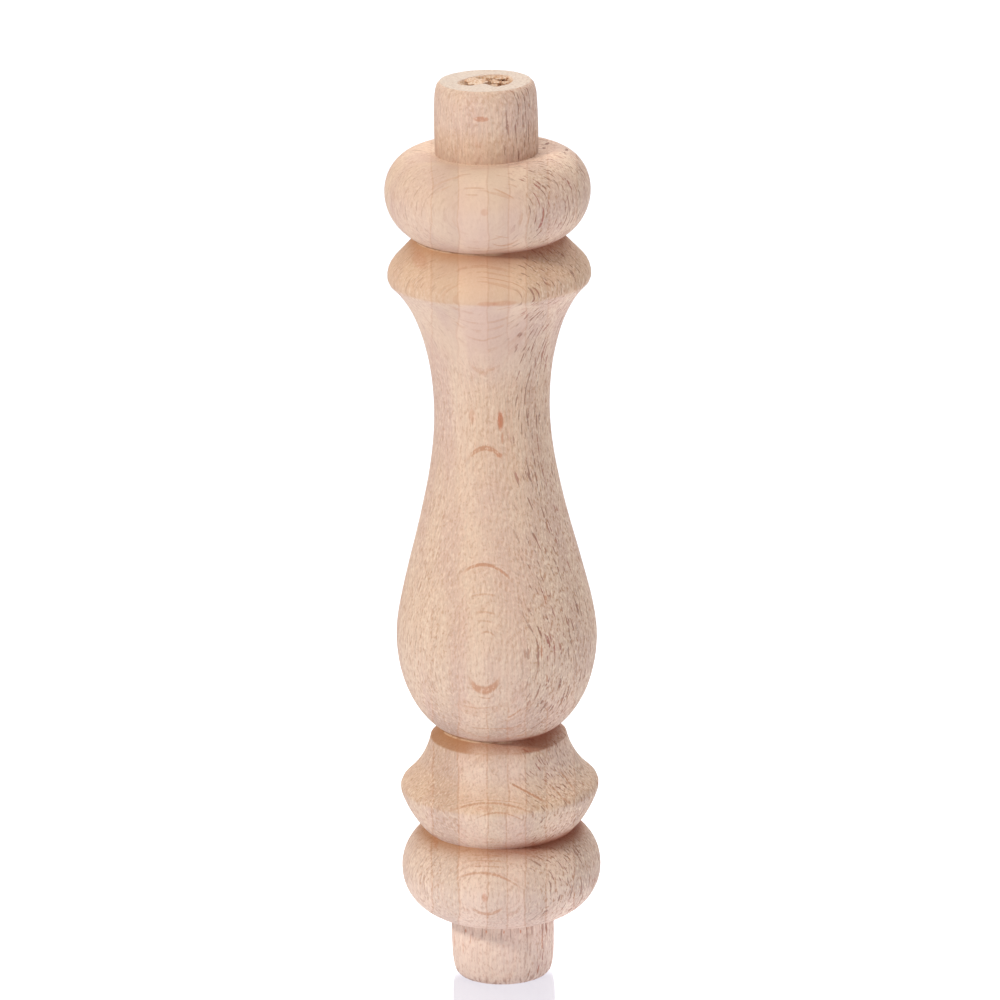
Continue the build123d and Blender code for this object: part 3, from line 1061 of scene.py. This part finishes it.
        # Painted highlight: a thin pale burr on the lit left and middle of each groove
        burr = graph.times(graph.step(groove, *BURR_FROM), graph.step(self.slope, *BURR_SLOPE))
        burr = graph.times(burr, graph.between(self.x, *BURR_ACROSS))
        burr = graph.times(burr, graph.step(self.patches(FRAY_GRAIN), *FRAY_FROM))
        burr = graph.times(burr, graph.step(self.z, *BURR_ABOVE))
        return graph.mix(graph.times(burr, BURR_SHARE), base, BURR_HIGHLIGHT)

    def fibre_ends(self, base):
        """Dark ticks at both rims of the lower tenon."""
        graph = self.graph
        ticks = graph.step(self.patches(TICK_GRAIN, 0.0), *TICK_FROM)
        rims = graph.most(graph.step(self.crevice, *TICK_CREVICE), graph.step(self.z, *TICK_RIM))
        ticks = graph.times(ticks, rims, graph.step(self.z, *TICK_BELOW))
        return graph.mix(graph.times(ticks, TICK_SHARE), base, VESSEL)

    def tears(self, base):
        """Small torn places with ragged edges and a faint pale rim."""
        graph = self.graph
        ragged = self.patches(TEAR_GRAIN)
        squeezed = graph.scaled(self.where, TEAR_SQUEEZE)
        core = 0.0
        rim = 0.0
        for *middle, wide in TEARS:
            away = graph.distance(squeezed, Vector(middle) * Vector(TEAR_SQUEEZE))
            off = graph.line(ragged, TEAR_RAGGED, graph.over(away, wide))
            core = graph.most(graph.step(off, *TEAR_CORE), core)
            rim = graph.most(graph.step(off, *TEAR_RIM), rim)
        self.torn_places = core
        base = graph.mix(graph.times(rim, TEAR_RIM_SHARE), base, NAP_PALE)
        return graph.mix(graph.times(core, TEAR_CORE_SHARE), base, VESSEL)

    def torn_top(self, base):
        """Pale and streaked fibres in the torn end, dark in its depths, partly as painted shade."""
        graph = self.graph
        torn = graph.stored("torn")
        streaks = graph.step(self.patches(TORN_GRAIN), *STREAK_FROM)
        base = graph.mix(graph.step(torn, *TORN_FROM), base, graph.mix(streaks, TORN_PALE, TORN_STREAK))
        # Partly painted shade: the torn end turns dark in its depths, under flakes and at fibre roots
        return graph.mix(graph.step(torn, *TORN_SHADE_FROM), base, TORN_DARK_AND_SHADE)

    def finish(self, base):
        """Gives the shader its colour, a dull finish and the bumps of fibres, lines and pores."""
        graph = self.graph
        shader = graph.shader
        graph.feed(shader.inputs["Base Color"], base)
        shader.inputs["Roughness"].default_value = WOOD_ROUGHNESS
        shader.inputs["Specular IOR Level"].default_value = WOOD_SHINE
        pores = graph.plus(self.vessel, self.torn_places)
        height = graph.minus(self.fibre, graph.times(self.lines, LINE_SUNK))
        height = graph.minus(height, graph.times(pores, PORE_SUNK))
        bump = graph.node("ShaderNodeBump")
        bump.inputs["Strength"].default_value = BUMP_STRENGTH
        bump.inputs["Distance"].default_value = BUMP_HEIGHT
        graph.feed(bump.inputs["Height"], height)
        graph.feed(shader.inputs["Normal"], bump.outputs["Normal"])


def make_beech():
    """The beech material, with its features laid one over another."""
    beech = Beech()
    base = beech.ground()
    for feature in (beech.end_grain_and_painted_light, beech.ray_strips, beech.growth_lines, beech.vessels, beech.flecks,
                    beech.strokes, beech.nap, beech.groove_shade_and_burr, beech.fibre_ends, beech.tears, beech.torn_top):
        base = feature(base)
    beech.finish(base)
    return beech.material


def make_floor():
    """A wide white table top that glows so that it stays white, brighter round the leg as painted light, and
    a little dimmer just before the foot as painted contact shade.
    """
    bpy.ops.mesh.primitive_grid_add(x_subdivisions=TABLE_CUTS, y_subdivisions=TABLE_CUTS, size=TABLE_SIZE)
    floor = bpy.context.object
    floor.name = "table_top"
    material = bpy.data.materials.new("white_table")
    graph = Graph(material)
    shader = graph.shader
    shader.inputs["Base Color"].default_value = TABLE_TONE
    shader.inputs["Roughness"].default_value = TABLE_ROUGHNESS
    place = graph.node("ShaderNodeTexCoord").outputs["Object"]
    # Painted light: a brighter glow in a ring round the leg lights its lower parts
    glow = graph.mix(graph.step(graph.length(place), *RING_REACH), RING_GLOW, FAR_GLOW)
    # Painted contact shade: a dimmer glow just before the foot
    glow = graph.mix(graph.step(graph.distance(place, CONTACT_SHADE_MIDDLE), *CONTACT_SHADE_REACH), CONTACT_SHADE_GLOW, glow)
    graph.feed(shader.inputs["Emission Color"], glow)
    shader.inputs["Emission Strength"].default_value = 1.0
    floor.data.materials.append(material)


def aim(obj, target):
    """Turns a lamp to look at the target."""
    obj.rotation_euler = (target - obj.location).to_track_quat("-Z", "Y").to_euler()


def place_at(target, turn, rise, distance):
    """A place this far from the target: turn 0 is the front, and a positive turn is to the right."""
    level = Vector((math.sin(turn), -math.cos(turn), 0.0)) * math.cos(rise)
    return target + (level + Vector((0.0, 0.0, math.sin(rise)))) * distance


def hang_light(data, height, turn, rise, distance):
    """Puts a light into the scene, looking at this height on the leg's axis."""
    target = Vector((0.0, 0.0, height))
    light = bpy.data.objects.new(data.name, data)
    bpy.context.scene.collection.objects.link(light)
    light.location = place_at(target, math.radians(turn), math.radians(rise), distance)
    aim(light, target)


def make_lamp(name):
    """A square soft lamp that looks at the leg's axis."""
    height, turn, rise, distance, size, light, tint = LAMPS[name]
    data = bpy.data.lights.new(name, "AREA")
    data.size = size
    data.energy = math.pi ** 2 * distance ** 2 * light
    data.color = tint
    hang_light(data, height, turn, rise, distance)


def make_beam(name):
    """A narrow soft beam that lifts the lower tenon."""
    height, turn, rise, light = FOOT_BEAMS[name]
    data = bpy.data.lights.new(name, "SPOT")
    data.spot_size = 2 * math.atan(BEAM_REACH / BEAM_DISTANCE)
    data.spot_blend = BEAM_EASE
    data.shadow_soft_size = MM
    data.energy = 4 * math.pi ** 2 * BEAM_DISTANCE ** 2 * light
    data.color = BEAM_TINT
    hang_light(data, height, turn, rise, BEAM_DISTANCE)


def make_camera(target):
    """The photo's viewpoint: the target comes out at the centre pixel, and the leg's top leans left."""
    data = bpy.data.cameras.new("photo_view")
    data.sensor_width = SENSOR
    data.lens = FOCAL_PIXELS / FRAME_PIXELS * SENSOR
    camera = bpy.data.objects.new("photo_view", data)
    bpy.context.scene.collection.objects.link(camera)
    back = Vector((0.0, -math.cos(CAMERA_RISE), math.sin(CAMERA_RISE)))
    right = Vector((1.0, 0.0, 0.0))
    up = back.cross(right)
    turned_right = right * math.cos(CAMERA_ROLL) - up * math.sin(CAMERA_ROLL)
    turned_up = up * math.cos(CAMERA_ROLL) + right * math.sin(CAMERA_ROLL)
    across = (FRAME_PIXELS / 2 - CENTRE_PIXEL[0]) / FOCAL_PIXELS
    upward = (CENTRE_PIXEL[1] - FRAME_PIXELS / 2) / FOCAL_PIXELS
    place = target + back * CAMERA_DISTANCE
    ahead = (-back + turned_right * across + turned_up * upward).normalized()
    axis_x = ahead.cross(turned_up).normalized()
    axis_y = axis_x.cross(ahead)
    turn = Matrix((axis_x, axis_y, -ahead)).transposed().to_4x4()
    camera.matrix_world = Matrix.Translation(place) @ turn
    bpy.context.scene.camera = camera


def make_world():
    """Even, slightly warm light from all round, and a plain view transform."""
    world = bpy.data.worlds.new("studio")
    world.use_nodes = True
    background = world.node_tree.nodes["Background"]
    background.inputs["Color"].default_value = WORLD_TINT
    background.inputs["Strength"].default_value = WORLD_LIGHT
    bpy.context.scene.world = world
    bpy.context.scene.view_settings.view_transform = "Standard"
    bpy.context.scene.view_settings.exposure = EXPOSURE


low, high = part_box(LEG)
middle = (low + high) / 2
cad_surface = BVHTree.FromObject(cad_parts[LEG], bpy.context.evaluated_depsgraph_get())
wood = make_beech()
leg = make_leg(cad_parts[LEG], cad_surface)
fibres = make_torn_fibres(cad_surface, high.z)
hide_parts(LEG)
for piece in (leg, fibres):
    piece.data.materials.append(wood)
    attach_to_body(piece, "root")

make_floor()
make_world()
for lamp_name in LAMPS:
    make_lamp(lamp_name)
for beam_name in FOOT_BEAMS:
    make_beam(beam_name)
make_camera(middle)
